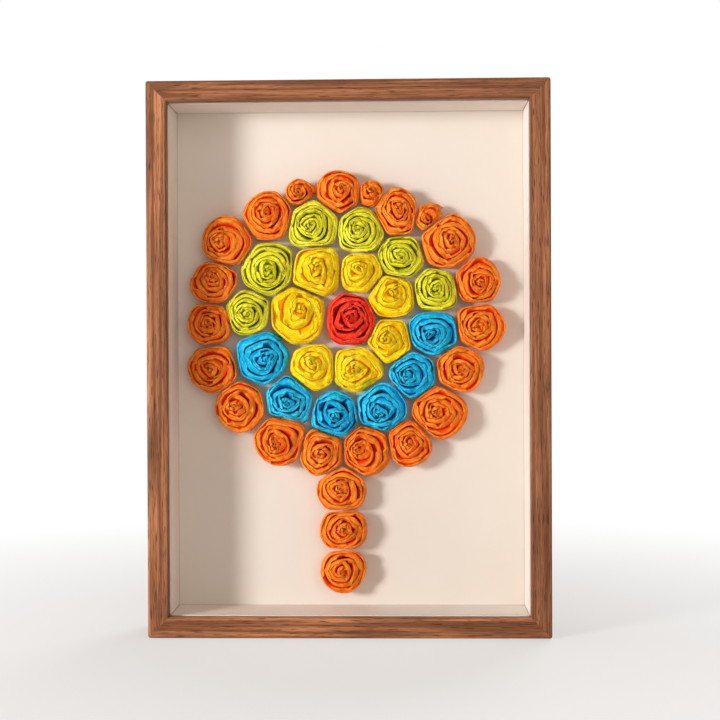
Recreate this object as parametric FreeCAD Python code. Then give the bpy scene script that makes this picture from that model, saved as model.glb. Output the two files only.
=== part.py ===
import FreeCAD, Part
import math
import os
from collections import namedtuple
from FreeCAD import Vector

# Shadow-box frame for an A4 sheet, with a round flower tree of forty-three roses behind its pane.
# Each rose is one strip of folded crepe paper rolled up from its eye, glued to the mount board.
# Millimetres. +Z is up, the front faces -Y, and the origin is the middle of the base.
# Layers from the front: lip of the moulding, pane, spacer strips, mount board, back panel, tabs.

os.makedirs("parts", exist_ok=True)

# Sheet and moulding
sheet_width = 210.0
sheet_height = 297.0
lip_cover = 2.5
rebate_clearance = 1.0
rail_face_width = 11.8
lip_thickness = 5.0
back_recess = 3.0
outer_edge_radius = 1.6
sight_edge_radius = 1.0
frame_corner_radius = 2.0

# Layers in the rebate
pane_thickness = 2.0
pane_edge_chamfer = 0.3
spacer_depth = 29.0
spacer_thickness = 2.6
mount_board_thickness = 2.0
back_panel_thickness = 3.0

# Retaining tabs, driven flat into the rails over the back panel
tab_width = 6.0
tab_thickness = 0.6
tab_in_rail = 4.0
tab_over_panel = 9.0
tab_corner_cut = 1.4
upright_tab_count = 3
crosspiece_tab_count = 2
tab_pitch = 90.0

# V-nails across the mitres
v_nail_leg = 4.0
v_nail_thickness = 0.6
v_nail_depth = 8.0
v_nail_inset = 2.6

# Sawtooth hanger and its rivets
hanger_length = 46.0
hanger_height = 9.0
hanger_thickness = 0.8
hanger_foot = 8.0
hanger_rise = 1.2
hanger_corner_cut = 1.5
hanger_drop = 24.0
tooth_pitch = 2.0
tooth_depth = 1.3
tooth_count = 12
rivet_shank_radius = 1.2
rivet_head_radius = 2.2
rivet_head_height = 0.7
rivet_head_top_radius = 1.4

# Rolled roses, wound clockwise outwards as seen from the front
rose_height = 14.5
rose_dome = 0.27
rose_gap = 0.2
roll_core = 0.13
roll_base = 0.62
roll_growth = 1.1
roll_closing = 0.5
petal_drop = 1.3
petal_wave = 0.045
petal_count = 3
tip_span = 0.3

# A roll's turns, its corners in each turn, and how much of the pitch the folded strip fills
Roll = namedtuple("Roll", "turns corners fill")
ROLLS = {
    "orange": Roll(4, 6, 0.78),
    "stem": Roll(4, 6, 0.78),
    "green": Roll(5, 5, 0.72),
    "blue": Roll(4, 6, 0.76),
    "yellow": Roll(3, 8, 0.82),
    "red": Roll(4, 6, 0.74),
}

# The tree's layout, drawn for the part of an A4 board that shows between the spacers
drawn_width = 204.8
drawn_height = 291.8

# Each rose: centre from the board's centre, half width, half height, the eye from the rose's
# centre, the direction in degrees where the roll ends, and how far a pointed end stands out
Rose = namedtuple("Rose", "x z half_width half_height eye_x eye_z end tip")
ROSES = {
    "orange": [
        Rose(-29.5, 97.5, 7.0, 7.0, -1.0, 0.0, 0, 2.5),
        Rose(-6.5, 97.5, 12.5, 11.5, 2.0, 1.0, 290, 0.0),
        Rose(13.0, 96.5, 7.0, 7.0, -1.0, 1.5, 270, 0.0),
        Rose(27.5, 85.0, 12.0, 13.5, 1.5, 2.5, 120, 0.0),
        Rose(46.5, 82.0, 7.5, 7.5, -2.0, -0.5, 35, 2.5),
        Rose(57.0, 67.5, 15.0, 15.0, 2.5, 1.5, 320, 0.0),
        Rose(74.5, 45.0, 12.5, 12.5, 1.5, -1.5, 70, 0.0),
        Rose(76.0, 18.5, 13.0, 13.0, -2.0, 0.0, 320, 0.0),
        Rose(64.0, -6.5, 13.0, 13.0, 0.0, 0.0, 20, 0.0),
        Rose(52.5, -31.0, 14.5, 14.5, -2.5, -0.5, 85, 0.0),
        Rose(34.5, -49.5, 12.5, 12.5, 0.0, 0.0, 100, 0.0),
        Rose(10.0, -54.0, 13.5, 13.5, -5.5, 0.5, 10, 0.0),
        Rose(-16.5, -55.0, 12.5, 12.5, -0.5, 0.0, 95, 2.0),
        Rose(-41.0, -47.5, 13.5, 13.5, -3.5, -2.0, 15, 0.0),
        Rose(-64.5, -28.0, 13.5, 13.5, -2.5, 1.0, 300, 0.0),
        Rose(-80.0, -5.0, 13.5, 13.5, -2.0, -0.5, 250, 0.0),
        Rose(-82.0, 20.5, 12.0, 12.0, -0.5, 0.5, 0, 1.5),
        Rose(-79.5, 44.5, 12.0, 12.0, 0.0, 3.5, 180, 1.5),
        Rose(-71.5, 69.0, 13.5, 13.5, -5.0, -0.5, 310, 0.0),
        Rose(-47.5, 83.5, 13.5, 13.5, -1.0, 3.0, 245, 0.0),
    ],
    "stem": [
        Rose(-5.0, -77.0, 13.0, 13.0, -1.5, 1.0, 160, 0.0),
        Rose(-4.0, -100.0, 12.5, 12.5, 0.0, 0.0, 20, 0.0),
        Rose(-4.5, -123.5, 12.0, 12.0, -1.0, -0.5, 230, 0.0),
    ],
    "green": [
        Rose(-21.0, 78.5, 14.0, 14.0, -2.0, -1.0, 320, 0.0),
        Rose(7.0, 75.0, 13.0, 13.0, -2.5, 0.0, 300, 0.0),
        Rose(30.0, 59.0, 12.5, 12.5, -1.0, 1.0, 130, 0.0),
        Rose(50.0, 40.0, 12.0, 12.0, 0.5, 1.5, 240, 0.0),
        Rose(-47.5, 53.0, 14.0, 15.5, 0.0, -1.5, 165, 0.0),
        Rose(-59.5, 27.5, 12.5, 12.5, -0.5, -1.5, 130, 0.0),
    ],
    "blue": [
        Rose(-51.5, 0.5, 15.0, 14.5, 2.5, -1.0, 55, 2.0),
        Rose(-35.5, -23.0, 13.0, 13.0, -2.0, -3.0, 310, 2.5),
        Rose(-9.0, -32.0, 13.0, 13.0, 0.0, -1.5, 265, 0.0),
        Rose(18.5, -27.5, 14.0, 14.0, -1.5, -4.5, 295, 0.0),
        Rose(37.0, -9.0, 13.0, 13.0, -4.5, -1.0, 280, 0.0),
        Rose(49.0, 15.0, 14.0, 12.5, -2.5, -1.5, 30, 0.0),
    ],
    "yellow": [
        Rose(-19.5, 50.5, 14.0, 15.5, 0.5, 3.0, 60, 0.0),
        Rose(7.0, 50.0, 12.5, 12.0, -2.0, 2.5, 330, 0.0),
        Rose(24.5, 36.5, 13.5, 12.5, 1.5, 2.5, 190, 0.0),
        Rose(23.5, 10.5, 12.0, 13.0, -2.5, 1.0, 310, 0.0),
        Rose(4.5, -6.0, 14.5, 13.5, -2.5, -1.0, 0, 0.0),
        Rose(-21.5, -5.0, 13.0, 13.0, -1.0, 3.5, 250, 0.0),
        Rose(-30.5, 26.0, 16.0, 17.5, 2.0, 3.0, 150, 0.0),
    ],
    "red": [
        Rose(0.5, 22.5, 14.0, 15.0, 0.0, 2.5, 290, 0.0),
    ],
}

# Sizes that follow from the values above
rebate_step = lip_cover + rebate_clearance
rail_wall = rail_face_width - rebate_step
frame_width = sheet_width + 2 * (rebate_clearance + rail_wall)
frame_height = sheet_height + 2 * (rebate_clearance + rail_wall)
layers_depth = pane_thickness + spacer_depth + mount_board_thickness + back_panel_thickness
frame_depth = lip_thickness + layers_depth + back_recess
middle_height = frame_height / 2
front_y = -frame_depth / 2
back_y = frame_depth / 2
lip_back_y = front_y + lip_thickness
pane_back_y = lip_back_y + pane_thickness
board_front_y = pane_back_y + spacer_depth
board_back_y = board_front_y + mount_board_thickness
panel_back_y = board_back_y + back_panel_thickness


def rounded_outline(corners):
    """Closed wire through (point, radius) corners, with a tangent arc wherever the radius isn't 0."""
    starts = []
    middles = []
    ends = []
    for index, (point, radius) in enumerate(corners):
        towards_last = (corners[index - 1][0] - point).normalize()
        towards_next = (corners[(index + 1) % len(corners)][0] - point).normalize()
        half_angle = towards_last.getAngle(towards_next) / 2
        bisector = (towards_last + towards_next).normalize()
        starts.append(point + towards_last * (radius / math.tan(half_angle)))
        middles.append(point + bisector * (radius / math.sin(half_angle) - radius))
        ends.append(point + towards_next * (radius / math.tan(half_angle)))
    edges = []
    for index, (_, radius) in enumerate(corners):
        if radius > 0:
            edges.append(Part.Arc(starts[index], middles[index], ends[index]).toShape())
        next_start = starts[(index + 1) % len(corners)]
        edges.append(Part.LineSegment(ends[index], next_start).toShape())
    return Part.Wire(edges)


def prism(corners, along):
    """Solid made by pushing a rounded outline along a vector."""
    return Part.Face(rounded_outline(corners)).extrude(along)


def clipped_plate(low, high, cut, along):
    """Plate with its four corners cut off, from a low to a high corner in the frame's plane."""
    outline = [
        Vector(low.x + cut, low.y, low.z),
        Vector(high.x - cut, low.y, low.z),
        Vector(high.x, low.y, low.z + cut),
        Vector(high.x, low.y, high.z - cut),
        Vector(high.x - cut, low.y, high.z),
        Vector(low.x + cut, low.y, high.z),
        Vector(low.x, low.y, high.z - cut),
        Vector(low.x, low.y, low.z + cut),
    ]
    return prism([(point, 0) for point in outline], along)


def layer(width, height, start_y, thickness):
    """Flat board centred on the frame, from start_y towards the back."""
    corner = Vector(-width / 2, start_y, middle_height - height / 2)
    return Part.makeBox(width, thickness, height, corner)


def moulding(length):
    """Straight stretch of moulding along X: Z is the distance from its outer face."""
    start_x = -length / 2
    section = [
        (Vector(start_x, front_y, 0), outer_edge_radius),
        (Vector(start_x, front_y, rail_face_width), sight_edge_radius),
        (Vector(start_x, lip_back_y, rail_face_width), 0),
        (Vector(start_x, lip_back_y, rail_wall), 0),
        (Vector(start_x, back_y, rail_wall), 0),
        (Vector(start_x, back_y, 0), 0),
    ]
    return prism(section, Vector(length, 0, 0))


def mitred_moulding(length):
    """Moulding cut at 45 degrees at both ends, longest at its outer face."""
    mitre = [
        (Vector(-length / 2, front_y, 0), 0),
        (Vector(length / 2, front_y, 0), 0),
        (Vector(length / 2 - rail_face_width, front_y, rail_face_width), 0),
        (Vector(-length / 2 + rail_face_width, front_y, rail_face_width), 0),
    ]
    return moulding(length).common(prism(mitre, Vector(0, frame_depth, 0)))


def frame_envelope():
    """Whole outline of the frame seen from the front, with its eased corners."""
    half = frame_width / 2
    outline = [
        (Vector(-half, front_y, 0), frame_corner_radius),
        (Vector(half, front_y, 0), frame_corner_radius),
        (Vector(half, front_y, frame_height), frame_corner_radius),
        (Vector(-half, front_y, frame_height), frame_corner_radius),
    ]
    return prism(outline, Vector(0, frame_depth, 0))


def place_on_side(shape, side):
    """Turns a shape made on the bottom rail's place to another side of the frame."""
    turns = {"bottom": 0, "left": 90, "top": 180, "right": -90}
    places = {
        "bottom": Vector(0, 0, 0),
        "left": Vector(-frame_width / 2, 0, middle_height),
        "top": Vector(0, 0, frame_height),
        "right": Vector(frame_width / 2, 0, middle_height),
    }
    placed = shape.copy()
    placed.rotate(Vector(0, 0, 0), Vector(0, 1, 0), turns[side])
    placed.translate(places[side])
    return placed


def retaining_tab(centre_x):
    """Thin steel tab on the bottom side, its tongue in the rail and the rest over the panel."""
    buried_end = rail_wall - tab_in_rail
    free_end = rail_wall + rebate_clearance + tab_over_panel
    low = Vector(centre_x - tab_width / 2, panel_back_y, buried_end)
    high = Vector(centre_x + tab_width / 2, panel_back_y, free_end)
    return clipped_plate(low, high, tab_corner_cut, Vector(0, tab_thickness, 0))


def retaining_tabs():
    counts = {
        "bottom": crosspiece_tab_count,
        "left": upright_tab_count,
        "top": crosspiece_tab_count,
        "right": upright_tab_count,
    }
    tabs = []
    for side, count in counts.items():
        for index in range(count):
            centre_x = (index - (count - 1) / 2) * tab_pitch
            tabs.append(place_on_side(retaining_tab(centre_x), side))
    return tabs


def v_nail(x_sign, z_sign):
    """Angle of thin steel driven into the back of one mitre, its bend towards the outer corner."""
    corner_x = x_sign * (frame_width / 2 - v_nail_inset)
    corner_z = middle_height + z_sign * (frame_height / 2 - v_nail_inset)
    start_y = back_y - v_nail_depth
    inward_x = Vector(-x_sign, 0, 0)
    inward_z = Vector(0, 0, -z_sign)
    bend = Vector(corner_x, start_y, corner_z)
    outline = [
        (bend, 0),
        (bend + inward_x * v_nail_leg, 0),
        (bend + inward_x * v_nail_leg + inward_z * v_nail_thickness, 0),
        (bend + (inward_x + inward_z) * v_nail_thickness, 0),
        (bend + inward_z * v_nail_leg + inward_x * v_nail_thickness, 0),
        (bend + inward_z * v_nail_leg, 0),
    ]
    return prism(outline, Vector(0, v_nail_depth, 0))


def v_nails():
    return [v_nail(x_sign, z_sign) for x_sign in (-1, 1) for z_sign in (-1, 1)]


def rail(side, fasteners):
    """One side of the frame, with the slots that its tabs and V-nails are driven into."""
    length = frame_width if side in ("bottom", "top") else frame_height
    shape = place_on_side(mitred_moulding(length), side)
    shape = shape.common(frame_envelope())
    return shape.cut(Part.makeCompound(fasteners))


def front_pane():
    """Clear pane behind the lip, with its sharp edges taken off."""
    pane = layer(sheet_width, sheet_height, lip_back_y, pane_thickness)
    return pane.makeChamfer(pane_edge_chamfer, pane.Edges)


def spacer(side):
    """Strip that holds the pane off the board: the uprights run full height between the boards."""
    left_x = -sheet_width / 2
    bottom_z = middle_height - sheet_height / 2
    inner_width = sheet_width - 2 * spacer_thickness
    sizes = {
        "left": (spacer_thickness, sheet_height, left_x, bottom_z),
        "right": (spacer_thickness, sheet_height, -left_x - spacer_thickness, bottom_z),
        "bottom": (inner_width, spacer_thickness, left_x + spacer_thickness, bottom_z),
        "top": (inner_width, spacer_thickness, left_x + spacer_thickness,
                bottom_z + sheet_height - spacer_thickness),
    }
    width, height, x, z = sizes[side]
    return Part.makeBox(width, spacer_depth, height, Vector(x, pane_back_y, z))


def rivet_places():
    """Centres of the two rivets, on the back face of the panel."""
    reach = (hanger_length - hanger_foot) / 2
    height = middle_height + sheet_height / 2 - hanger_drop
    return [Vector(-reach, panel_back_y, height), Vector(reach, panel_back_y, height)]


def rivet(place):
    """Rivet through a hanger foot and the back panel, with a low coned head."""
    shank_length = back_panel_thickness + hanger_thickness
    start = place - Vector(0, back_panel_thickness, 0)
    shank = Part.makeCylinder(rivet_shank_radius, shank_length, start, Vector(0, 1, 0))
    under_head = place + Vector(0, hanger_thickness, 0)
    head = Part.makeCone(rivet_head_radius, rivet_head_top_radius, rivet_head_height,
                         under_head, Vector(0, 1, 0))
    return shank.fuse(head).removeSplitter()


def back_panel(rivets):
    panel = layer(sheet_width, sheet_height, board_back_y, back_panel_thickness)
    return panel.cut(Part.makeCompound(rivets))


def hanger_strip():
    """Steel strip with its middle raised off the panel and a flat foot at each end."""
    half = hanger_length / 2
    foot_end = half - hanger_foot
    raised = foot_end - hanger_rise
    low_y = panel_back_y
    bottom_z = rivet_places()[0].z - hanger_height / 2
    section = [(-half, 0), (-foot_end, 0), (-raised, hanger_rise), (raised, hanger_rise),
               (foot_end, 0), (half, 0)]
    bend_shift = hanger_thickness * math.tan(math.radians(45 / 2))
    upper = [(half, 0), (foot_end + bend_shift, 0), (raised + bend_shift, hanger_rise),
             (-raised - bend_shift, hanger_rise), (-foot_end - bend_shift, 0), (-half, 0)]
    corners = [(Vector(x, low_y + y, bottom_z), 0) for x, y in section]
    corners += [(Vector(x, low_y + y + hanger_thickness, bottom_z), 0) for x, y in upper]
    return prism(corners, Vector(0, 0, hanger_height))


def sawtooth_hanger(rivets):
    """Hanger with cut corners and a row of teeth along the lower edge of its raised middle."""
    centre_z = rivet_places()[0].z
    low = Vector(-hanger_length / 2, panel_back_y, centre_z - hanger_height / 2)
    high = Vector(hanger_length / 2, panel_back_y, centre_z + hanger_height / 2)
    thickness = Vector(0, hanger_rise + hanger_thickness, 0)
    shape = hanger_strip().common(clipped_plate(low, high, hanger_corner_cut, thickness))
    notches = []
    for index in range(tooth_count):
        centre_x = (index - (tooth_count - 1) / 2) * tooth_pitch
        notch = [
            (Vector(centre_x - tooth_pitch / 2, panel_back_y, low.z), 0),
            (Vector(centre_x + tooth_pitch / 2, panel_back_y, low.z), 0),
            (Vector(centre_x, panel_back_y, low.z + tooth_depth), 0),
        ]
        notches.append(prism(notch, thickness))
    return shape.cut(Part.makeCompound(notches + rivets))


def spread(rose):
    """The rose moved to its place on a board of this size, from the place it was drawn at."""
    across = (sheet_width - 2 * spacer_thickness) / drawn_width
    up = (sheet_height - 2 * spacer_thickness) / drawn_height
    return rose._replace(x=rose.x * across, z=rose.z * up)


def reach_towards(rose, unit_x, unit_z):
    """How far a rose's oval outline reaches in a direction from its centre."""
    return math.hypot(rose.half_width * unit_x, rose.half_height * unit_z)


def squash_planes(rose, neighbours):
    """Flat faces where the rose is pressed against others: direction and distance from its centre."""
    planes = []
    for other in neighbours:
        apart_x = other.x - rose.x
        apart_z = other.z - rose.z
        apart = math.hypot(apart_x, apart_z)
        unit_x = apart_x / apart
        unit_z = apart_z / apart
        own = reach_towards(rose, unit_x, unit_z)
        theirs = reach_towards(other, unit_x, unit_z)
        distance = (apart**2 + own**2 - theirs**2) / (2 * apart) - rose_gap / 2
        planes.append((unit_x, unit_z, distance))
    return planes


def outline_reach(rose, corners, planes, angle, tip):
    """Distance from the eye to the rose's outline in a direction, cut back at its neighbours."""
    turn = 2 * math.pi / corners
    same_area = math.sqrt(turn / math.sin(turn))
    half_width = rose.half_width * same_area + tip
    half_height = rose.half_height * same_area + tip
    unit_x = math.cos(angle)
    unit_z = math.sin(angle)
    square = (unit_x / half_width) ** 2 + (unit_z / half_height) ** 2
    middle = rose.eye_x * unit_x / half_width**2 + rose.eye_z * unit_z / half_height**2
    rest = (rose.eye_x / half_width) ** 2 + (rose.eye_z / half_height) ** 2 - 1
    reach = (-middle + math.sqrt(middle**2 - square * rest)) / square
    for plane_x, plane_z, distance in planes:
        towards = unit_x * plane_x + unit_z * plane_z
        if towards > 0:
            from_eye = distance - rose.eye_x * plane_x - rose.eye_z * plane_z
            reach = min(reach, from_eye / towards)
    return reach


def roll_share(turn, turns):
    """Share of the outline's size that the roll has after so many turns from its eye."""
    wound = min(1.0, turn / (turns - roll_closing))
    return roll_core + (1 - roll_core) * wound**roll_growth


def strip_section(rose, roll, planes, turn):
    """The folded strip's four corners at one place along the roll, foot first."""
    outer = roll_share(turn, roll.turns)
    pitch = outer - roll_share(turn - 1, roll.turns) if turn >= 1 else outer
    inner = outer - roll.fill * pitch
    angle = math.radians(rose.end) + 2 * math.pi * (roll.turns - turn)
    near_end = max(0.0, 1 - (roll.turns - turn) / tip_span)
    reach = outline_reach(rose, roll.corners, planes, angle, rose.tip * near_end)
    wave = 1 + petal_wave * math.cos(petal_count * angle)
    crest = rose_height * (1 - rose_dome * outer**2) * wave
    corners = []
    for share, height in (
        (inner * roll_base, 0),
        (outer * roll_base, 0),
        (outer, crest - petal_drop),
        (inner, crest),
    ):
        x = rose.x + rose.eye_x + share * reach * math.cos(angle)
        z = middle_height + rose.z + rose.eye_z + share * reach * math.sin(angle)
        corners.append(Vector(x, board_front_y - height, z))
    return corners


def facet(*points):
    return Part.Face(Part.makePolygon(list(points) + [points[0]]))


def rolled_rose(rose, roll, neighbours):
    """One closed solid: the strip's section carried round the roll in flat facets."""
    planes = squash_planes(rose, neighbours)
    stations = roll.turns * roll.corners
    sections = []
    for station in range(stations + 1):
        sections.append(strip_section(rose, roll, planes, station / roll.corners))
    facets = [facet(*sections[0]), facet(*sections[-1])]
    for here, there in zip(sections, sections[1:]):
        for index in range(len(here)):
            after = (index + 1) % len(here)
            facets.append(facet(here[index], here[after], there[after]))
            facets.append(facet(here[index], there[after], there[index]))
    shell = Part.makeShell(facets)
    shell.sewShape()
    solid = Part.makeSolid(shell)
    if solid.Volume < 0:
        solid.reverse()
    return solid


def export(name, shape):
    shape.exportStep(f"parts/{name}.step")


def export_frame():
    tabs = retaining_tabs()
    nails = v_nails()
    rivets = [rivet(place) for place in rivet_places()]
    for side in ("bottom", "top", "left", "right"):
        export(f"frame_rail_{side}", rail(side, tabs + nails))
        export(f"spacer_{side}", spacer(side))
    export("front_pane", front_pane())
    export("mount_board", layer(sheet_width, sheet_height, board_front_y, mount_board_thickness))
    export("back_panel", back_panel(rivets))
    export("sawtooth_hanger", sawtooth_hanger(rivets))
    export("hanger_rivets", Part.makeCompound(rivets))
    export("retaining_tabs", Part.makeCompound(tabs))
    export("corner_v_nails", Part.makeCompound(nails))


def export_roses():
    placed = {colour: [spread(rose) for rose in roses] for colour, roses in ROSES.items()}
    everyone = [rose for roses in placed.values() for rose in roses]
    for colour, roses in placed.items():
        for number, rose in enumerate(roses, start=1):
            neighbours = [other for other in everyone if other is not rose]
            solid = rolled_rose(rose, ROLLS[colour], neighbours)
            export(f"rose_{colour}_{number:02d}", solid)


export_frame()
export_roses()
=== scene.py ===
import bpy
import math
from collections import namedtuple
import numpy as np
from mathutils import Matrix, Vector


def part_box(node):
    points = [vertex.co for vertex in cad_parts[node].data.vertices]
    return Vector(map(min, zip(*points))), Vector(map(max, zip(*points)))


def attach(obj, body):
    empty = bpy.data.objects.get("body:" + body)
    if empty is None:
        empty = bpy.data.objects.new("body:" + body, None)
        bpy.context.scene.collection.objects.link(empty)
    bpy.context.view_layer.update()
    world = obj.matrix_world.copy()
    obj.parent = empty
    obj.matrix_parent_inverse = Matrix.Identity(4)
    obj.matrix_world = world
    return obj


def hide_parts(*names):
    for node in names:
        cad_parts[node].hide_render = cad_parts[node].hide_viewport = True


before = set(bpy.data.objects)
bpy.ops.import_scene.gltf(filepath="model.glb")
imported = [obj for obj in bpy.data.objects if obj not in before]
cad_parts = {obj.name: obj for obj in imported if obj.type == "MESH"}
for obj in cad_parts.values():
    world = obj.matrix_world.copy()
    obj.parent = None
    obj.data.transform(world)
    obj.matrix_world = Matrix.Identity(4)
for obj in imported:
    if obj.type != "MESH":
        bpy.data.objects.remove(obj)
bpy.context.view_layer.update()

# Roses are worked out in millimetres, and everything that is handed to Blender is in metres
MM = 0.001
BOARD_FRONT_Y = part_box("mount_board")[0].y / MM
MIDDLE_HEIGHT = (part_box("mount_board")[0].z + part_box("mount_board")[1].z) / 2 / MM

# The foam strips' inner faces, from the middle of the frame, in metres
WALL_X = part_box("spacer_right")[0].x
WALL_Z = (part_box("spacer_top")[0].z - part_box("spacer_bottom")[1].z) / 2

# Rolled roses: heights above the board, and shares of the reach from the eye to the outline
STATIONS_PER_TURN = 110
FIRST_SEED = 101
ROSE_HEIGHT = 14.5
DOME = 0.31
CORE_SHARE = 0.08
FOOT_SHARE = 0.62

# The drawn outline grows by this factor until the neighbours stop it, this far apart
SWELL = 1.14
NEIGHBOUR_GAP = 0.1

# The strip's folded edge: its thickness, its width in thicknesses and how far it curls down
FOLD_THICKNESS = 0.42
LIP_WIDTH = 1.7
LIP_CURL = 0.40

# Turns at the rim that keep every station, and turns at the eye that keep every third
RIM_TURNS = 2.2
EYE_TURNS = 1.2

# How a colour's strips are rolled: turns, how much wider they get towards the rim, folds in each
# turn at the eye and at the rim, how far a lip stands off the turn inside it and over what share
# of its length, how straight its sides are, how deep the paper is crumpled and how deep the
# pockets are
Roll = namedtuple("Roll", "turns growth eye_folds rim_folds opening open_share straightness"
                          " crumple pocket")
ROLLS = {
    "orange": Roll(6.0, 1.15, 2.6, 4.0, 0.66, 0.46, 0.44, 0.26, 3.0),
    "green": Roll(7.0, 1.05, 2.6, 4.4, 0.62, 0.50, 0.36, 0.18, 2.8),
    "blue": Roll(5.8, 1.20, 2.6, 3.8, 0.68, 0.50, 0.54, 0.28, 3.2),
    "yellow": Roll(5.2, 1.30, 2.4, 3.4, 0.54, 0.34, 0.42, 0.30, 1.9),
    "red": Roll(6.0, 1.12, 2.6, 3.8, 0.64, 0.54, 0.50, 0.22, 3.2),
}

# Crepe paper's colours, as sRGB values: body, painted highlight for folded edges, painted shade for pockets
# and darker painted shade for the deepest pockets
Crepe = namedtuple("Crepe", "body lip hollow deep")
CREPE = {
    "orange": Crepe((255, 121, 28), (255, 182, 72), (255, 72, 4), (236, 22, 0)),
    "green": Crepe((236, 228, 12), (255, 252, 104), (188, 190, 0), (60, 70, 0)),
    "blue": Crepe((0, 184, 246), (88, 240, 255), (0, 122, 198), (0, 40, 98)),
    "yellow": Crepe((255, 218, 2), (255, 240, 66), (255, 190, 0), (255, 146, 0)),
    "red": Crepe((255, 38, 26), (255, 110, 78), (214, 4, 2), (112, 0, 0)),
}

# Centre from the board's centre, half width, half height, eye from the rose's centre, the
# direction in degrees where the strip ends, and how far a pointed end stands out
Rose = namedtuple("Rose", "x z half_width half_height eye_x eye_z end tip")
ROSES = {
    "orange": [
        Rose(-29.5, 97.5, 7.0, 7.0, -1.0, 0.0, 0, 2.5),
        Rose(-6.5, 97.5, 12.5, 11.5, 2.0, 1.0, 290, 0.0),
        Rose(13.0, 96.5, 7.0, 7.0, -1.0, 1.5, 270, 0.0),
        Rose(27.5, 85.0, 12.0, 13.5, 1.5, 2.5, 120, 0.0),
        Rose(46.5, 82.0, 7.5, 7.5, -2.0, -0.5, 35, 2.5),
        Rose(57.0, 67.5, 15.0, 15.0, 2.5, 1.5, 320, 0.0),
        Rose(74.5, 45.0, 12.5, 12.5, 1.5, -1.5, 70, 0.0),
        Rose(76.0, 18.5, 13.0, 13.0, -2.0, 0.0, 320, 0.0),
        Rose(64.0, -6.5, 13.0, 13.0, 0.0, 0.0, 20, 0.0),
        Rose(52.5, -31.0, 14.5, 14.5, -2.5, -0.5, 85, 0.0),
        Rose(34.5, -49.5, 12.5, 12.5, 0.0, 0.0, 100, 0.0),
        Rose(10.0, -54.0, 13.5, 13.5, -5.5, 0.5, 10, 0.0),
        Rose(-16.5, -55.0, 12.5, 12.5, -0.5, 0.0, 95, 2.0),
        Rose(-41.0, -47.5, 13.5, 13.5, -3.5, -2.0, 15, 0.0),
        Rose(-64.5, -28.0, 13.5, 13.5, -2.5, 1.0, 300, 0.0),
        Rose(-80.0, -5.0, 13.5, 13.5, -2.0, -0.5, 250, 0.0),
        Rose(-82.0, 20.5, 12.0, 12.0, -0.5, 0.5, 0, 1.5),
        Rose(-79.5, 44.5, 12.0, 12.0, 0.0, 3.5, 180, 1.5),
        Rose(-71.5, 69.0, 13.5, 13.5, -5.0, -0.5, 310, 0.0),
        Rose(-47.5, 83.5, 13.5, 13.5, -1.0, 3.0, 245, 0.0),
    ],
    "stem": [
        Rose(-5.0, -77.0, 13.0, 13.0, -1.5, 1.0, 160, 0.0),
        Rose(-4.0, -100.0, 12.5, 12.5, 0.0, 0.0, 20, 0.0),
        Rose(-4.5, -123.5, 12.0, 12.0, -1.0, -0.5, 230, 0.0),
    ],
    "green": [
        Rose(-21.0, 78.5, 14.0, 14.0, -2.0, -1.0, 320, 0.0),
        Rose(7.0, 75.0, 13.0, 13.0, -2.5, 0.0, 300, 0.0),
        Rose(30.0, 59.0, 12.5, 12.5, -1.0, 1.0, 130, 0.0),
        Rose(50.0, 40.0, 12.0, 12.0, 0.5, 1.5, 240, 0.0),
        Rose(-47.5, 53.0, 14.0, 15.5, 0.0, -1.5, 165, 0.0),
        Rose(-59.5, 27.5, 12.5, 12.5, -0.5, -1.5, 130, 0.0),
    ],
    "blue": [
        Rose(-51.5, 0.5, 15.0, 14.5, 2.5, -1.0, 55, 2.0),
        Rose(-35.5, -23.0, 13.0, 13.0, -2.0, -3.0, 310, 2.5),
        Rose(-9.0, -32.0, 13.0, 13.0, 0.0, -1.5, 265, 0.0),
        Rose(18.5, -27.5, 14.0, 14.0, -1.5, -4.5, 295, 0.0),
        Rose(37.0, -9.0, 13.0, 13.0, -4.5, -1.0, 280, 0.0),
        Rose(49.0, 15.0, 14.0, 12.5, -2.5, -1.5, 30, 0.0),
    ],
    "yellow": [
        Rose(-19.5, 50.5, 14.0, 15.5, 0.5, 3.0, 60, 0.0),
        Rose(7.0, 50.0, 12.5, 12.0, -2.0, 2.5, 330, 0.0),
        Rose(24.5, 36.5, 13.5, 12.5, 1.5, 2.5, 190, 0.0),
        Rose(23.5, 10.5, 12.0, 13.0, -2.5, 1.0, 310, 0.0),
        Rose(4.5, -6.0, 14.5, 13.5, -2.5, -1.0, 0, 0.0),
        Rose(-21.5, -5.0, 13.0, 13.0, -1.0, 3.5, 250, 0.0),
        Rose(-30.5, 26.0, 16.0, 17.5, 2.0, 3.0, 150, 0.0),
    ],
    "red": [
        Rose(0.5, 22.5, 14.0, 15.0, 0.0, 2.5, 290, 0.0),
    ],
}


def srgb(red, green, blue):
    """Linear colour with alpha from sRGB values of 0 to 255."""
    linear = []
    for value in (red, green, blue):
        share = value / 255
        if share <= 0.04045:
            linear.append(share / 12.92)
        else:
            linear.append(((share + 0.055) / 1.055) ** 2.4)
    return (*linear, 1.0)


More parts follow.
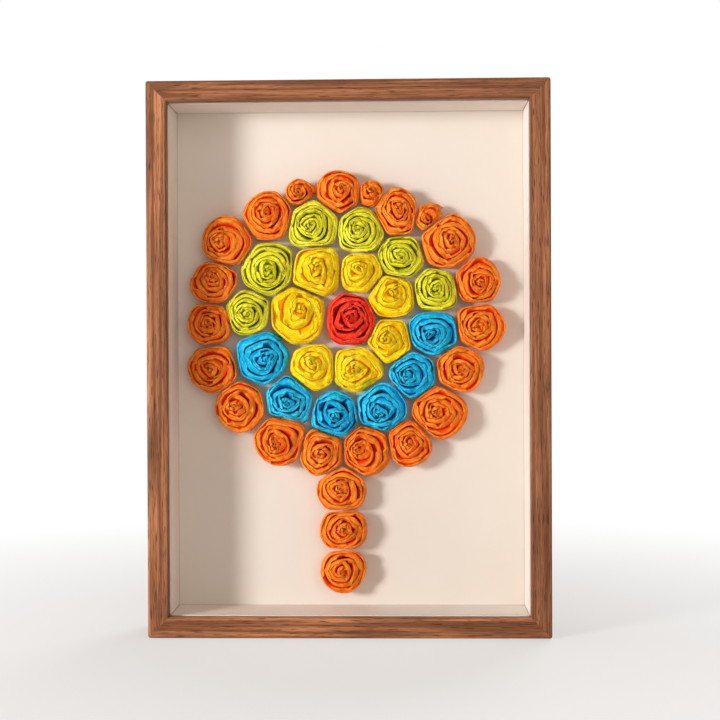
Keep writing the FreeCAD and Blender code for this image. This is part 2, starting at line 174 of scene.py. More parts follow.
class Nodes:
    """Short helper around one node tree."""

    def __init__(self, tree):
        self.tree = tree
        self.tree.nodes.clear()

    def add(self, kind, links=None, **settings):
        node = self.tree.nodes.new(kind)
        for name, value in settings.items():
            setattr(node, name, value)
        for socket, source in (links or {}).items():
            if isinstance(source, bpy.types.NodeSocket):
                self.tree.links.new(source, node.inputs[socket])
            else:
                node.inputs[socket].default_value = source
        return node

    def math(self, operation, first, second=0.0, third=0.0, clamp=False):
        node = self.add("ShaderNodeMath", {0: first, 1: second, 2: third},
                        operation=operation, use_clamp=clamp)
        return node.outputs[0]

    def mix(self, factor, first, second, blend="MIX"):
        node = self.add("ShaderNodeMix", {0: factor, 6: first, 7: second},
                        data_type="RGBA", blend_type=blend)
        return node.outputs[2]

    def noise(self, vector, scale, detail=2.0, roughness=0.5, distortion=0.0):
        node = self.add("ShaderNodeTexNoise", {
            "Vector": vector, "Scale": scale, "Detail": detail,
            "Roughness": roughness, "Distortion": distortion,
        })
        return node.outputs["Fac"]

    def ramp(self, factor, stops):
        """Value from a ramp of (position, grey) stops."""
        node = self.add("ShaderNodeValToRGB", {0: factor})
        elements = node.color_ramp.elements
        while len(elements) < len(stops):
            elements.new(0.5)
        for element, (position, grey) in zip(elements, stops):
            element.position = position
            element.color = (grey, grey, grey, 1)
        return node.outputs[0]

    def stretch(self, vector, x, y, z):
        node = self.add("ShaderNodeVectorMath", {0: vector, 1: (x, y, z)}, operation="MULTIPLY")
        return node.outputs[0]

    def bump(self, height, strength, distance, before=None):
        links = {"Height": height, "Strength": strength, "Distance": distance}
        if before is not None:
            links["Normal"] = before
        return self.add("ShaderNodeBump", links).outputs[0]


def new_material(name):
    material = bpy.data.materials.new(name)
    material.use_nodes = True
    return material, Nodes(material.node_tree)


def principled(nodes, **inputs):
    """Shader and output: an input's name is written with underscores for its spaces."""
    links = {name.replace("_", " "): value for name, value in inputs.items()}
    shader = nodes.add("ShaderNodeBsdfPrincipled", links)
    nodes.add("ShaderNodeOutputMaterial", {"Surface": shader.outputs[0]})


def object_coordinates(nodes):
    return nodes.add("ShaderNodeTexCoord").outputs["Object"]


def crepe_material(name, crepe):
    """Crepe paper: crinkled across the strip, with a painted highlight on folded edges and pleat ridges and
    painted shade in its pockets and pleat valleys.
    """
    material, nodes = new_material(name)
    body, lip, hollow, deep = (srgb(*colour) for colour in crepe)
    strip = nodes.add("ShaderNodeAttribute", attribute_name="strip").outputs["Vector"]
    # Attributes that place the painted highlight on folded edges and the painted shade in pockets
    edge = nodes.add("ShaderNodeAttribute", attribute_name="lip").outputs["Fac"]
    depth = nodes.add("ShaderNodeAttribute", attribute_name="hollow").outputs["Fac"]
    tone = nodes.add("ShaderNodeAttribute", attribute_name="tone").outputs["Fac"]
    place = object_coordinates(nodes)
    crinkle = nodes.noise(nodes.stretch(strip, 2.3, 0.25, 1.0), 1.0, 2.0, 0.5, 0.2)
    pleats = nodes.noise(nodes.stretch(strip, 0.10, 0.85, 1.0), 1.0, 1.0, 0.5, 0.5)
    blotch = nodes.noise(place, 160.0, 3.0, 0.6)
    fibre = nodes.noise(place, 2600.0, 2.0, 0.6)
    off_pleat = nodes.math("ABSOLUTE", nodes.math("SUBTRACT", pleats, 0.5))
    ridge = nodes.ramp(off_pleat, [(0.0, 1.0), (0.07, 0.0)])
    valley = nodes.ramp(pleats, [(0.60, 0.0), (0.66, 1.0)])
    uneven = nodes.math("ADD", nodes.math("SUBTRACT", crinkle, 0.5), nodes.math("SUBTRACT", blotch, 0.5))
    shade = nodes.math("MULTIPLY_ADD", uneven, 0.9, nodes.math("MULTIPLY", tone, 0.3))
    light_side = nodes.math("MAXIMUM", shade, 0.0, clamp=True)
    dark_side = nodes.math("MAXIMUM", nodes.math("MULTIPLY", shade, -1.0), 0.0, clamp=True)
    colour = nodes.mix(nodes.math("MULTIPLY", light_side, 1.2, clamp=True), body, lip)
    colour = nodes.mix(nodes.math("MULTIPLY", dark_side, 1.2, clamp=True), colour, hollow)
    # Painted shade in the pleat valleys
    colour = nodes.mix(nodes.math("MULTIPLY", valley, 0.55), colour, hollow)
    # Painted highlight along folded edges and pleat ridges, broken up along the strip
    broken_edge_highlight = nodes.ramp(nodes.noise(nodes.stretch(strip, 0.5, 0.2, 1.0), 1.0, 2.0, 0.5),
                      [(0.38, 0.3), (0.62, 0.9)])
    colour = nodes.mix(nodes.math("MULTIPLY", broken_edge_highlight, nodes.math("MAXIMUM", edge, ridge)), colour, lip)
    # Painted shade in pockets, darkest in their deepest part
    colour = nodes.mix(nodes.ramp(depth, [(0.0, 0.0), (0.5, 0.9)]), colour, hollow)
    colour = nodes.mix(nodes.ramp(depth, [(0.45, 0.0), (0.85, 0.92)]), colour, deep)
    normal = nodes.bump(crinkle, 0.6, 0.3 * MM)
    normal = nodes.bump(nodes.math("SUBTRACT", ridge, valley), 0.8, 0.3 * MM, normal)
    normal = nodes.bump(fibre, 0.2, 0.05 * MM, normal)
    principled(nodes, Base_Color=colour, Roughness=0.9, Normal=normal, Specular_IOR_Level=0.01)
    return material


def wood_material(name, along_x, darker):
    """Satin walnut with its grain along X or along Z: darker is 0 to 1."""
    material, nodes = new_material(name)
    place = object_coordinates(nodes)

    def with_grain(along, across):
        if along_x:
            return nodes.stretch(place, along, across, across)
        return nodes.stretch(place, across, across, along)

    figure = nodes.noise(with_grain(13.0, 95.0), 1.0, 2.0, 0.5, 0.8)
    lines = nodes.noise(with_grain(7.0, 520.0), 1.0, 2.0, 0.5, 0.4)
    grain = nodes.noise(with_grain(26.0, 1300.0), 1.0, 3.0, 0.6, 0.2)
    pores = nodes.noise(with_grain(110.0, 2600.0), 1.0, 1.0, 0.5)
    colour = nodes.mix(nodes.ramp(grain, [(0.36, 0.0), (0.64, 1.0)]),
                       srgb(201, 137, 94), srgb(160, 98, 60))
    colour = nodes.mix(nodes.ramp(lines, [(0.50, 0.0), (0.62, 0.8)]), colour, srgb(108, 62, 38))
    colour = nodes.mix(nodes.ramp(figure, [(0.40, darker), (0.68, 0.85)]), colour, srgb(104, 60, 36))
    colour = nodes.mix(nodes.ramp(pores, [(0.58, 0.0), (0.66, 0.85)]), colour, srgb(60, 32, 18))
    rough = nodes.math("MULTIPLY_ADD", grain, 0.25, 0.36)
    normal = nodes.bump(pores, 0.45, -0.12 * MM)
    normal = nodes.bump(grain, 0.3, 0.12 * MM, normal)
    principled(nodes, Base_Color=colour, Roughness=rough, Normal=normal, Specular_IOR_Level=0.22)
    return material


def from_walls(nodes, place):
    """Distances in metres from the side walls, and from the walls above and below."""
    parts = nodes.add("ShaderNodeSeparateXYZ", {0: place}).outputs
    height = nodes.math("SUBTRACT", parts["Z"], MIDDLE_HEIGHT * MM)
    aside = nodes.math("SUBTRACT", WALL_X, nodes.math("ABSOLUTE", parts["X"]))
    above = nodes.math("SUBTRACT", WALL_Z, nodes.math("ABSOLUTE", height))
    return aside, above, parts["Y"]


def painted_corner_shade(nodes, colour, distance, strength):
    """Painted shade: a dark line along the inside corner where two boards meet; the distance from the joint
    is in metres.
    """
    near = nodes.math("MULTIPLY", distance, 1 / MM, clamp=True)
    return nodes.mix(nodes.ramp(near, [(0.15, strength), (0.6, 0.0)]), colour, srgb(112, 76, 54))


def board_material():
    material, nodes = new_material("cream_board")
    place = object_coordinates(nodes)
    tooth = nodes.noise(place, 1400.0, 3.0, 0.6)
    cloud = nodes.noise(place, 14.0, 2.0, 0.5)
    colour = nodes.mix(cloud, srgb(229, 221, 212), srgb(223, 213, 202))
    aside, above, _ = from_walls(nodes, place)
    # Painted shade along the edges where the board meets the foam walls
    colour = painted_corner_shade(nodes, colour, nodes.math("MINIMUM", aside, above), 0.25)
    normal = nodes.bump(tooth, 0.3, 0.08 * MM)
    principled(nodes, Base_Color=colour, Roughness=0.85, Normal=normal)
    return material


def foam_material():
    material, nodes = new_material("white_foam_strip")
    place = object_coordinates(nodes)
    cells = nodes.add("ShaderNodeTexVoronoi", {"Vector": place, "Scale": 1500.0})
    cloud = nodes.noise(place, 60.0, 3.0, 0.5)
    colour = nodes.mix(cloud, srgb(240, 234, 228), srgb(228, 218, 208))
    aside, above, depth = from_walls(nodes, place)
    # Painted shade in the corners where the foam strips meet
    colour = painted_corner_shade(nodes, colour, nodes.math("ADD", aside, above), 0.6)
    # Painted shade along the back edge where the foam meets the board
    colour = painted_corner_shade(nodes, colour, nodes.math("SUBTRACT", BOARD_FRONT_Y * MM, depth), 0.2)
    normal = nodes.bump(cells.outputs["Distance"], 0.35, 0.12 * MM)
    principled(nodes, Base_Color=colour, Roughness=0.8, Normal=normal)
    return material


def fibreboard_material():
    material, nodes = new_material("fibreboard")
    place = object_coordinates(nodes)
    fibre = nodes.noise(nodes.stretch(place, 300.0, 900.0, 900.0), 1.0, 5.0, 0.7, 1.5)
    cloud = nodes.noise(place, 25.0, 3.0, 0.6)
    colour = nodes.mix(cloud, srgb(176, 141, 104), srgb(150, 115, 82))
    colour = nodes.mix(nodes.ramp(fibre, [(0.45, 0.0), (0.62, 0.6)]), colour, srgb(112, 80, 54))
    normal = nodes.bump(fibre, 0.4, 0.15 * MM)
    principled(nodes, Base_Color=colour, Roughness=0.75, Normal=normal)
    return material


def steel_material():
    material, nodes = new_material("steel")
    place = object_coordinates(nodes)
    brushed = nodes.noise(nodes.stretch(place, 200.0, 200.0, 5000.0), 1.0, 3.0, 0.6)
    wear = nodes.noise(place, 220.0, 3.0, 0.6)
    colour = nodes.mix(wear, srgb(205, 205, 202), srgb(168, 168, 166))
    rough = nodes.math("MULTIPLY_ADD", brushed, 0.3, 0.22)
    normal = nodes.bump(brushed, 0.2, 0.03 * MM)
    principled(nodes, Base_Color=colour, Roughness=rough, Normal=normal, Metallic=1.0)
    return material


def acrylic_material():
    """Clear pane: nearly all see-through, and more of a mirror at a glancing angle."""
    material, nodes = new_material("clear_acrylic")
    place = object_coordinates(nodes)
    ripple = nodes.noise(place, 18.0, 2.0, 0.5)
    facing = nodes.add("ShaderNodeLayerWeight", {"Blend": 0.5}).outputs["Facing"]
    alpha = nodes.math("MULTIPLY_ADD", nodes.math("POWER", facing, 4.0), 0.35, 0.001)
    normal = nodes.bump(ripple, 0.05, 0.1 * MM)
    principled(nodes, Base_Color=srgb(250, 252, 252), Roughness=0.03, Alpha=alpha, Normal=normal)
    return material


def ripples(along, across, waves, rng):
    """Sum of creased waves over the strip, mostly from -1 to 1: lengths in millimetres."""
    total = np.zeros(np.broadcast(along, across).shape)
    for length_along, length_across in waves:
        for _ in range(3):
            pace = rng.uniform(0.75, 1.3)
            phase = rng.uniform(0, 2 * math.pi)
            sign = rng.choice((-1.0, 1.0))
            wave = 2 * math.pi * (pace * along / length_along + sign * across / length_across) + phase
            total += 1 - 2 * np.abs(np.sin(wave / 2))
    return total / math.sqrt(3 * len(waves))


def wander(turn, lengths, rng):
    """Smooth random curve along the strip, mostly from -1 to 1: lengths in turns."""
    total = np.zeros(turn.shape)
    for length in lengths:
        pace = rng.uniform(0.85, 1.2)
        total += np.sin(2 * math.pi * pace * turn / length + rng.uniform(0, 2 * math.pi))
    return total / math.sqrt(len(lengths))


def smooth(value):
    """Soft step from 0 to 1."""
    value = np.clip(value, 0, 1)
    return value * value * (3 - 2 * value)


def squash_planes(rose, neighbours):
    """Flat faces where the rose is pressed against others: direction and distance from its centre."""
    planes = []
    for other in neighbours:
        apart_x = other.x - rose.x
        apart_z = other.z - rose.z
        apart = math.hypot(apart_x, apart_z)
        unit_x = apart_x / apart
        unit_z = apart_z / apart
        own = math.hypot(rose.half_width * unit_x, rose.half_height * unit_z)
        theirs = math.hypot(other.half_width * unit_x, other.half_height * unit_z)
        distance = (apart**2 + own**2 - theirs**2) / (2 * apart) - NEIGHBOUR_GAP / 2
        planes.append((unit_x, unit_z, distance))
    return planes


def outline_reach(rose, planes, angle, uneven):
    """Distance from the eye to the rose's outline along each angle, pressed in at its neighbours."""
    half_width = rose.half_width * SWELL
    half_height = rose.half_height * SWELL
    unit_x = np.cos(angle)
    unit_z = np.sin(angle)
    square = (unit_x / half_width) ** 2 + (unit_z / half_height) ** 2
    middle = rose.eye_x * unit_x / half_width**2 + rose.eye_z * unit_z / half_height**2
    rest = (rose.eye_x / half_width) ** 2 + (rose.eye_z / half_height) ** 2 - 1
    reach = uneven * (-middle + np.sqrt(middle**2 - square * rest)) / square
    limits = []
    for plane_x, plane_z, distance in planes:
        towards = unit_x * plane_x + unit_z * plane_z
        from_eye = distance - rose.eye_x * plane_x - rose.eye_z * plane_z
        limit = np.where(towards > 1e-3, from_eye / np.maximum(towards, 1e-3), 1e3)
        gap = np.clip(limit - reach, 0, 4.0)
        reach = reach + 0.8 * gap * smooth(2 - gap / 2) * np.exp(-(1 - towards) / 0.06)
        limits.append(limit)
    for limit in limits:
        reach = (reach**-15 + limit**-15) ** (-1 / 15)
    return reach


def fold_places(roll, turns, rng):
    """Where the strip is folded over, in turns from the eye, the last at its end."""
    folds = [0.0]
    while folds[-1] < turns:
        share = folds[-1] / turns
        per_turn = roll.eye_folds + (roll.rim_folds - roll.eye_folds) * share
        folds.append(folds[-1] + rng.uniform(0.6, 1.45) / per_turn)
    return np.array(folds) * (turns / folds[-1])


def on_side(folds, turn):
    """Which side of the strip, between two folds, each place lies on, and how far along it."""
    side = np.clip(np.searchsorted(folds, turn, side="right") - 1, 0, len(folds) - 2)
    return side, (turn - folds[side]) / (folds[side + 1] - folds[side])


def roll_up(roll, turn, turns, folds, rounder, least, rng):
    """Shares of the reach, at each station, for the turn inside, the lip and the outer edge."""
    back = STATIONS_PER_TURN
    side, along_side = on_side(folds, turn)
    half_side = math.pi * (folds[side + 1] - folds[side])
    off_middle = (along_side - 0.5) * 2 * half_side
    chord = np.cos(np.minimum(half_side, 1.1)) / np.cos(np.clip(off_middle, -1.1, 1.1))
    wound = np.minimum(1.0, turn / (turns - 1.0))
    straight = 1 - roll.straightness * (1 - 0.8 * wound**3) * (1 - np.clip(chord, 0.0, 1.0))
    envelope = CORE_SHARE + (1 - CORE_SHARE) * wound**roll.growth
    pitch = envelope.copy()
    pitch[back:] = envelope[back:] - envelope[:-back]
    uneven = 0.25 * wander(turn, (1.7, 0.8, 0.53), rng) * (1 - wound**5)
    inner_shape = 1 + (rounder - 1) * (1 - wound**4)
    outer = envelope * inner_shape * straight + pitch * uneven

    # A lip lies against the turn inside it, and stands off it only in places
    noise = wander(turn, (0.62, 0.37, 0.23), rng)
    edge = np.quantile(noise, 1 - roll.open_share)
    stands_off = smooth((noise - edge) / 0.35)
    saw = smooth(np.minimum(along_side / 0.5, (1 - along_side) / 0.12))
    opening = roll.opening * rng.uniform(0.5, 1.3, len(folds))[side] * (0.5 + 0.5 * smooth(turn / 1.6))
    wobble = wander(turn, (0.47, 0.29, 0.15), rng)
    lip = outer - pitch * np.clip(1.04 - opening * (0.1 + 0.9 * saw * stands_off) + 0.05 * wobble, 0.2, 1.2)
    lip = np.maximum(lip, 0.02)
    for index in range(back, len(turn)):
        lip[index] = max(lip[index], lip[index - back] + 1.5 * least[index])
    lip = np.minimum(lip, 1 - 1.6 * least)
    outer = np.maximum(outer, lip + 1.5 * least)
    cover = np.full(len(turn), 1e3)
    cover[:-back] = lip[back:] - 0.45 * least[back:]
    outer = np.minimum(outer, cover)
    outer = np.minimum(np.maximum(outer, lip + 0.9 * least), 1.0)
    inside = 0.3 * lip
    inside[back:] = np.minimum(outer[:-back] + 0.2 * least[back:], lip[back:] - 0.1 * least[back:])
    return inside, lip, outer


def rolled_strip(rose, roll, planes, rng):
    """Points of the strip's closed section at each station, with its shading values."""
    small = min(1.0, (rose.half_width + rose.half_height) / 22)
    count = int(round((roll.turns + rng.uniform(-0.4, 0.4)) * small * STATIONS_PER_TURN))
    turns = count / STATIONS_PER_TURN
    turn = np.arange(count + 1) / STATIONS_PER_TURN
    angle = math.radians(rose.end) + 2 * math.pi * (turns - turn)
    back = STATIONS_PER_TURN

    # The outline is a little uneven, the same way round in every turn
    round_trip = angle / (2 * math.pi)
    bumps = sum(rng.uniform(-1, 1) * np.cos(2 * math.pi * (waves * round_trip + rng.uniform()))
                for waves in (2, 3, 5))
    reach = outline_reach(rose, planes, angle, 1 + 0.018 * bumps)
    folds = fold_places(roll, turns, rng)
    least = FOLD_THICKNESS / reach
    rounder = (outline_reach(rose, [], angle, 1.0) / reach) ** 0.85
    inside, lip, outer = roll_up(roll, turn, turns, folds, rounder, least, rng)
    rim = np.clip((turn - (turns - 1)) / 0.12, 0, 1)
    stand_out = rose.tip * np.clip(1 - (turns - turn) / 0.16, 0, 1) ** 1.5
    lip_radius = lip * reach
    outer_radius = outer * reach + stand_out
    inside_radius = inside * reach
    band = outer_radius - lip_radius
    fold = np.minimum(FOLD_THICKNESS, 0.34 * band)
    edge = LIP_WIDTH * fold

    side, along_side = on_side(folds, turn)
    petal = np.sin(math.pi * np.clip(along_side, 0, 1))
    lift = rng.uniform(-1.0, 1.0, len(folds))[side]
    pinch = rng.uniform(0.3, 1.7, len(folds))
    pinch = np.where(along_side < 0.5, pinch[side], pinch[side + 1])
    from_fold = np.minimum(along_side, 1 - along_side) * (folds[side + 1] - folds[side])
    tilt = np.clip(rng.normal(1.0, 0.5, len(folds)), 0.1, 2.0)[side]
    crest = ROSE_HEIGHT * (1 - DOME * (lip + 0.5 * (outer - lip)) ** 2)
    crest = crest + (0.4 + 0.8 * lift) * petal - pinch * np.exp(-((from_fold / 0.03) ** 2))
    crest = crest + 0.2 * wander(turn, (0.47, 0.29, 0.15), rng)
    crest = crest - 1.3 * np.clip(1 - turn / 0.9, 0, 1)
    crest = crest - 1.2 * np.clip(1 - (turns - turn) / 0.08, 0, 1)
    droop = 0.50 * band * tilt + rim * (0.8 + 0.45 * band)
    shoulder = crest - LIP_CURL - droop

    # Each side overlaps the next along a crease that runs outwards at a slant
    slant = rng.uniform(0.5, 1.4)
    overlap = rng.uniform(0.3, 1.5, len(folds))

    def on_band(share, swell):
        crossed, along_crossed = on_side(folds, np.maximum(turn - 0.02 * slant * share * band, 0.0))
        step = along_crossed**1.3 * (1 - smooth((along_crossed - 0.90) / 0.10))
        step = overlap[crossed] * (step - 0.3) * np.minimum(1.0, band / 2.4)
        radius = lip_radius + edge + (band - edge) * share
        height = crest - LIP_CURL - droop * share**1.35 + swell * np.minimum(band - edge, 3.0)
        return radius, height + step * min(1.0, 4 * share)

    foot_in = inside_radius * FOOT_SHARE
    foot_out = outer_radius * FOOT_SHARE
    wall_in = inside_radius - foot_in
    wall_out = outer_radius - foot_out
    flat = np.zeros(count + 1)

    # Round the section: radius, height, how much painted highlight it gets as a folded edge, how much
    # painted shade it gets down in a pocket, how much the top is crumpled there and how much the wall is
    section = [
        (foot_in, flat, 0.0, 1.0, 0.0, 0.0),
        (foot_in + wall_in * 0.7, crest * 0.45, 0.0, 1.0, 0.0, 0.0),
        (inside_radius, crest - roll.pocket, 0.0, 0.85, 0.0, 0.2),
        (lip_radius - (lip_radius - inside_radius) * 0.35, crest - 0.45 * roll.pocket, 0.0, 0.45, 0.0, 0.3),
        (lip_radius, crest - 0.35, 0.7, 0.12, 0.15, 0.3),
        (lip_radius + 0.5 * fold, crest, 1.0, 0.0, 0.2, 0.1),
        (lip_radius + 1.0 * fold, crest - 0.14, 0.9, 0.0, 0.2, 0.2),
        (lip_radius + edge, crest - 0.38, 0.6, 0.0, 0.5, 0.1),
        (*on_band(0.16, 0.04), 0.4, 0.0, 0.8, 0.0),
        (*on_band(0.33, 0.09), 0.25, 0.0, 1.0, 0.0),
        (*on_band(0.50, 0.12), 0.12, 0.02, 1.0, 0.0),
        (*on_band(0.67, 0.12), 0.0, 0.06, 1.0, 0.0),
        (*on_band(0.82, 0.08), 0.0, 0.13, 1.0, 0.0),
        (*on_band(0.94, 0.02), 0.0, 0.24, 0.7, 0.2),
        (outer_radius, shoulder, 0.0, 0.42, 0.4, 0.8),
        (outer_radius - 0.05, shoulder - 0.9, 0.0, 0.7, 0.0, 1.0),
        (foot_out + wall_out * 0.86, shoulder * 0.66, 0.0, 1.0, 0.0, 1.0),
        (foot_out + wall_out * 0.55, shoulder * 0.38, 0.0, 1.0, 0.0, 0.9),
        (foot_out + wall_out * 0.2, shoulder * 0.14, 0.0, 1.0, 0.0, 0.6),
        (foot_out, flat, 0.0, 1.0, 0.0, 0.3),
    ]
    columns = list(zip(*section))
    radius = np.array(columns[0]).T
    height = np.array(columns[1]).T
    painted_lip_highlight, hollow = (np.tile(column, (count + 1, 1)) for column in columns[2:4])
    on_top, on_wall = (np.array(column) for column in columns[4:])

    # Painted shade: only the side that faces outwards gets it from the next turn, and the rim gets none
    outside = np.arange(len(section)) >= 11
    hollow = np.where(outside[None, :], hollow * (1 - 0.85 * rim[:, None]), hollow)
    # More painted shade where a lip stands off the turn inside it, less where it lies close against it
    open_inside = np.clip((lip_radius - inside_radius) / 0.9, 0, 1)[:, None]
    open_outside = np.ones((count + 1, 1))
    open_outside[:-back] = open_inside[back:]
    beside = np.where(outside[None, :], open_outside, open_inside)
    hollow = hollow * np.where(hollow < 0.9, 0.45 + 0.55 * beside, 1.0)

    middle_radius = 0.5 * (lip_radius + outer_radius)
    steps = np.hypot(np.diff(middle_radius * np.cos(angle)), np.diff(middle_radius * np.sin(angle)))
    along = np.concatenate([[0.0], np.cumsum(steps)])[:, None]
    girth = np.hypot(np.diff(radius, axis=1), np.diff(height, axis=1))
    across = np.concatenate([np.zeros((count + 1, 1)), np.cumsum(girth, axis=1)], axis=1)

    # Crumpled paper: broad dents, long ridges that nearly follow the strip, and fine crinkles
    dents = ripples(along, across, [(9.0, 7.0), (5.0, 9.0), (2.6, 5.0)], rng)
    ridges = ripples(along, across, [(17.0, 1.9), (11.0, 2.9)], rng)
    crinkle = ripples(along, across, [(1.7, 12.0)], rng)
    soft = np.minimum(1.0, band / 1.8)[:, None]
    height = height + soft * on_top * (roll.crumple * dents + 0.2 * ridges + 0.02 * crinkle)
    pleat = ripples(along, across, [(3.2, 14.0)], rng)
    inward = rim[:, None] * on_wall * (0.22 * (pleat - 0.9) + roll.crumple * (dents - 0.5))
    radius = radius + np.minimum(0.0, inward) + 0.02 * on_wall * crinkle * (1 - rim[:, None])
    height = np.maximum(height, 0.0)

    # The eye is pinched to an oval, more so nearer to its middle
    flat_x = radius * np.cos(angle)[:, None]
    flat_z = radius * np.sin(angle)[:, None]
    turned = rng.uniform(0, math.pi)
    stretch = rng.uniform(0.12, 0.42)
    size = 0.5 * (rose.half_width + rose.half_height)
    fade = np.clip(1 - np.hypot(flat_x, flat_z) / (0.55 * size), 0, 1) ** 2
    long_way = flat_x * math.cos(turned) + flat_z * math.sin(turned)
    short_way = -flat_x * math.sin(turned) + flat_z * math.cos(turned)
    long_way = long_way * (1 + stretch * fade)
    short_way = short_way * (1 - 0.6 * stretch * fade)
    flat_x = long_way * math.cos(turned) - short_way * math.sin(turned)
    flat_z = long_way * math.sin(turned) + short_way * math.cos(turned)

    points = np.stack([
        rose.x + rose.eye_x + flat_x,
        BOARD_FRONT_Y - height,
        MIDDLE_HEIGHT + rose.z + rose.eye_z + flat_z,
    ], axis=-1)
    strip = np.stack([
        np.broadcast_to(along, radius.shape),
        across,
        np.zeros_like(radius),
    ], axis=-1)

    # The inner turns are short, so they need fewer stations
    keep = [index for index in range(count + 1)
            if index == count
            or turn[index] > turns - RIM_TURNS
            or (turn[index] > EYE_TURNS and index % 2 == 0)
            or index % 3 == 0]
    return points[keep], strip[keep], painted_lip_highlight[keep], hollow[keep]


def build_rose(name, rose, colour, planes, material, rng):
    points, strip, painted_lip_highlight, hollow = rolled_strip(rose, ROLLS[colour], planes, rng)
    stations, corners, _ = points.shape
    faces = []
    for station in range(stations - 1):
        for corner in range(corners):
            after = (corner + 1) % corners
            here = station * corners
            there = here + corners
            faces.append((here + corner, there + corner, there + after, here + after))
    last = (stations - 1) * corners
    for corner in range(1, corners - 1):
        faces.append((0, corner, corner + 1))
        faces.append((last, last + corner + 1, last + corner))
    mesh = bpy.data.meshes.new(name)
    mesh.from_pydata((points.reshape(-1, 3) * MM).tolist(), [], faces)
    # Point attributes for the painted highlight on folded edges and the painted shade in pockets
    for attribute, values in (("lip", painted_lip_highlight), ("hollow", hollow)):
        layer = mesh.attributes.new(attribute, "FLOAT", "POINT")
        layer.data.foreach_set("value", values.astype(np.float32).ravel())
    layer = mesh.attributes.new("tone", "FLOAT", "POINT")
    layer.data.foreach_set("value", np.full(stations * corners, rng.uniform(-0.5, 0.5), np.float32))
    strip[:, :, 2] = rng.uniform(0, 50)
    layer = mesh.attributes.new("strip", "FLOAT_VECTOR", "POINT")
    layer.data.foreach_set("vector", strip.astype(np.float32).ravel())
    mesh.validate()
    mesh.shade_smooth()
    mesh.set_sharp_from_angle(angle=math.radians(62))
    mesh.materials.append(material)
    piece = bpy.data.objects.new(name + "_paper", mesh)
    bpy.context.scene.collection.objects.link(piece)
    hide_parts(name)
    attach(piece, "root")


def build_roses():
    materials = {colour: crepe_material(f"{colour}_crepe", crepe) for colour, crepe in CREPE.items()}
    everyone = [rose for roses in ROSES.values() for rose in roses]
    for family, roses in ROSES.items():
        colour = "orange" if family == "stem" else family
        for number, rose in enumerate(roses, start=1):
            rng = np.random.default_rng(FIRST_SEED + everyone.index(rose))
            planes = squash_planes(rose, [other for other in everyone if other is not rose])
            name = f"rose_{family}_{number:02d}"
            build_rose(name, rose, colour, planes, materials[colour], rng)


def dress(node, material):
    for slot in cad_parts[node].material_slots:
        slot.material = material


def dress_frame():
    foam = foam_material()
    steel = steel_material()
    for side, darker in (("top", 0.38), ("bottom", 0.0), ("left", 0.06), ("right", 0.34)):
        dress(f"frame_rail_{side}", wood_material(f"walnut_{side}", side in ("top", "bottom"), darker))
    for side in ("top", "bottom", "left", "right"):
        dress(f"spacer_{side}", foam)
    for node in ("retaining_tabs", "corner_v_nails", "sawtooth_hanger", "hanger_rivets"):
        dress(node, steel)
    dress("mount_board", board_material())
    dress("back_panel", fibreboard_material())
    dress("front_pane", acrylic_material())


def plain_background(nodes):
    """1 for rays that see the background: camera, glossy and see-through ones."""
    path = nodes.add("ShaderNodeLightPath").outputs
    seen = nodes.math("MAXIMUM", path["Is Camera Ray"], path["Is Glossy Ray"])
    return nodes.math("MAXIMUM", seen, path["Is Transmission Ray"])


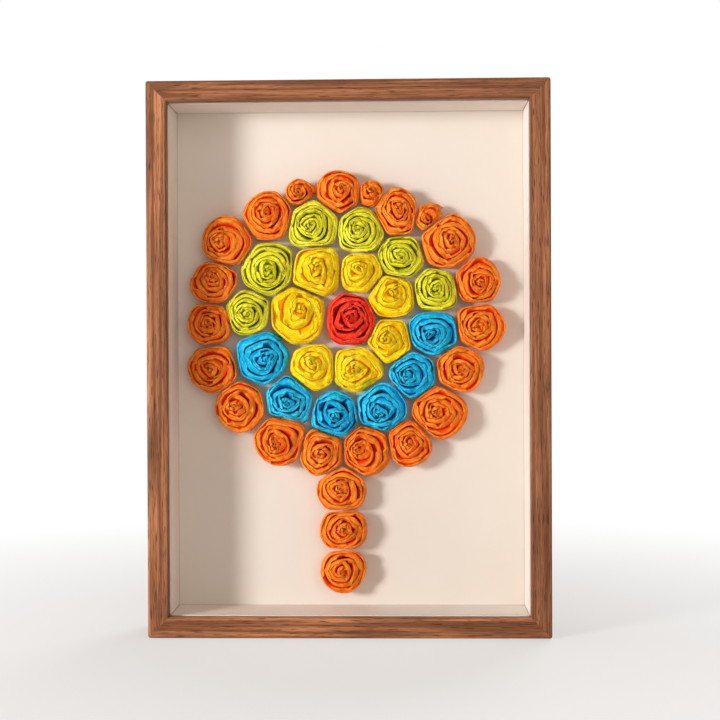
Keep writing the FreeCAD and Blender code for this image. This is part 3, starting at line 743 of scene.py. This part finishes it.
def build_floor():
    """White floor that keeps the object's shadow and fades into the white background."""
    mesh = bpy.data.meshes.new("floor")
    rim = 96
    size = 6.0
    ring = [(size * math.cos(2 * math.pi * step / rim), size * math.sin(2 * math.pi * step / rim), 0)
            for step in range(rim)]
    mesh.from_pydata(ring, [], [tuple(range(rim))])
    floor = bpy.data.objects.new("floor", mesh)
    floor.location.z = -0.0003
    bpy.context.scene.collection.objects.link(floor)
    material, nodes = new_material("floor")
    path = plain_background(nodes)
    place = object_coordinates(nodes)
    length = nodes.add("ShaderNodeVectorMath", {0: place}, operation="LENGTH").outputs["Value"]
    away = nodes.ramp(length, [(0.12, 0.5), (0.5, 1.0)])
    glow = nodes.add("ShaderNodeEmission", {"Color": (1, 1, 1, 1), "Strength": 1.0})
    matt = nodes.add("ShaderNodeBsdfDiffuse", {"Color": srgb(238, 238, 238)})
    seen = nodes.add("ShaderNodeMixShader", {0: away, 1: matt.outputs[0], 2: glow.outputs[0]})
    both = nodes.add("ShaderNodeMixShader", {0: path, 1: matt.outputs[0], 2: seen.outputs[0]})
    nodes.add("ShaderNodeOutputMaterial", {"Surface": both.outputs[0]})
    mesh.materials.append(material)


def build_world():
    world = bpy.data.worlds.new("studio")
    bpy.context.scene.world = world
    world.use_nodes = True
    nodes = Nodes(world.node_tree)
    path = plain_background(nodes)
    seen = nodes.add("ShaderNodeBackground", {"Color": (1, 1, 1, 1), "Strength": 1.0})
    fill = nodes.add("ShaderNodeBackground", {"Color": (1, 0.85, 0.71, 1), "Strength": 0.30})
    both = nodes.add("ShaderNodeMixShader", {0: path, 1: fill.outputs[0], 2: seen.outputs[0]})
    nodes.add("ShaderNodeOutputWorld", {"Surface": both.outputs[0]})


def lamp(name, place, size, power, colour):
    data = bpy.data.lights.new(name, "AREA")
    data.shape = "DISK"
    data.size = size
    data.energy = power
    data.color = colour
    lamp_object = bpy.data.objects.new(name, data)
    aim = Vector((0, 0, MIDDLE_HEIGHT * MM)) - Vector(place)
    lamp_object.location = place
    lamp_object.rotation_euler = aim.to_track_quat("-Z", "Y").to_euler()
    bpy.context.scene.collection.objects.link(lamp_object)


def build_light():
    lamp("key", (-1.32, -1.10, 0.36), 0.42, 25.5, (1.0, 1.0, 0.99))
    lamp("fill", (0.6, -1.7, 0.6), 1.4, 6.8, (1.0, 0.94, 0.885))
    lamp("back", (0.8, 1.6, 1.4), 1.2, 18.0, (1.0, 0.98, 0.96))


def build_camera():
    data = bpy.data.cameras.new("camera")
    data.sensor_width = 36
    data.lens = 62.98
    data.clip_start = 0.05
    camera = bpy.data.objects.new("camera", data)
    bpy.context.scene.collection.objects.link(camera)
    turn = Matrix.Rotation(math.radians(1.53), 4, "Z")
    tilt = Matrix.Rotation(math.radians(0.24), 4, "Y")
    nod = Matrix.Rotation(math.radians(-0.35), 4, "X")
    upright = Matrix.Rotation(math.radians(90), 4, "X")
    place = Matrix.Translation((0.0256, -0.7311, 0.1616))
    camera.matrix_world = place @ turn @ tilt @ nod @ upright
    bpy.context.scene.camera = camera


build_roses()
dress_frame()
build_floor()
build_world()
build_light()
build_camera()
bpy.context.scene.view_settings.view_transform = "Standard"
